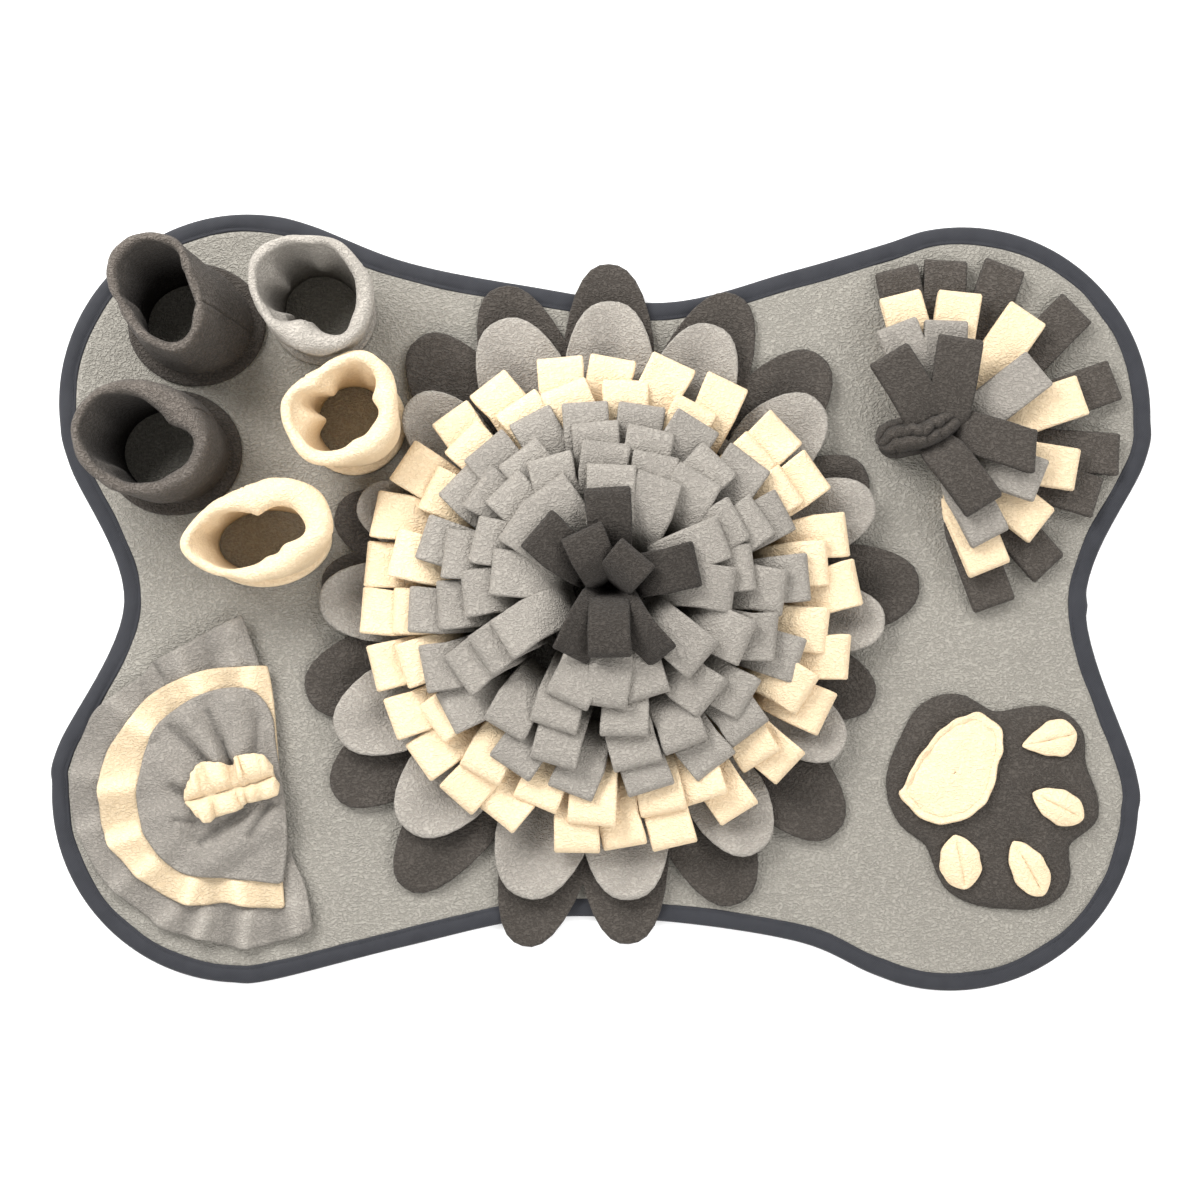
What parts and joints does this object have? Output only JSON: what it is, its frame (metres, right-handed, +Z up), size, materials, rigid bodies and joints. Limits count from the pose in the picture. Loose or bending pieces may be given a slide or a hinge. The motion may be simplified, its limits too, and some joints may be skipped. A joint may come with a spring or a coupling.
{
  "type": "snuffle mat",
  "caption": "Bone-shaped fleece mat for a pet to nose through, with a flower of folded loops, standing pockets, a gathered rosette, a strip fan and a padded paw.",
  "frame": {"origin": "centre of the mat's bounding box, on the surface that its underside rests on", "axes": "+X along the mat's length, +Y to the long edge that is uppermost when the pockets are at the upper left, +Z up"},
  "size_m": [0.6994, 0.4937, 0.0714],
  "materials": {
    "mat_fleece": "soft brushed fleece, matte",
    "slate_tape": "woven tape, matte",
    "dark_fleece": "soft brushed fleece, matte",
    "grey_fleece": "soft brushed fleece, matte",
    "cream_fleece": "soft brushed fleece, matte"
  },
  "bodies": {
    "root": {"mat_panel": "mat_fleece", "mat_binding": "slate_tape", "petals_dark": "dark_fleece", "ring_dark": "dark_fleece", "ring_top_dark": "dark_fleece", "fan_dark": "dark_fleece", "fan_top": "dark_fleece", "fan_gather": "dark_fleece", "pocket_1": "dark_fleece", "pocket_3": "dark_fleece", "paw_pad": "dark_fleece", "petals_grey": "grey_fleece", "ring_grey_1": "grey_fleece", "ring_grey_2": "grey_fleece", "ring_grey_3": "grey_fleece", "ring_grey_4": "grey_fleece", "fan_grey": "grey_fleece", "pocket_2": "grey_fleece", "rosette_1": "grey_fleece", "rosette_3": "grey_fleece", "ring_cream_1": "cream_fleece", "ring_cream_2": "cream_fleece", "fan_cream": "cream_fleece", "pocket_4": "cream_fleece", "pocket_5": "cream_fleece", "rosette_2": "cream_fleece", "rosette_ruffle": "cream_fleece", "paw_sole": "cream_fleece", "paw_toe_1": "cream_fleece", "paw_toe_2": "cream_fleece", "paw_toe_3": "cream_fleece", "paw_toe_4": "cream_fleece"}
  },
  "joints": []
}
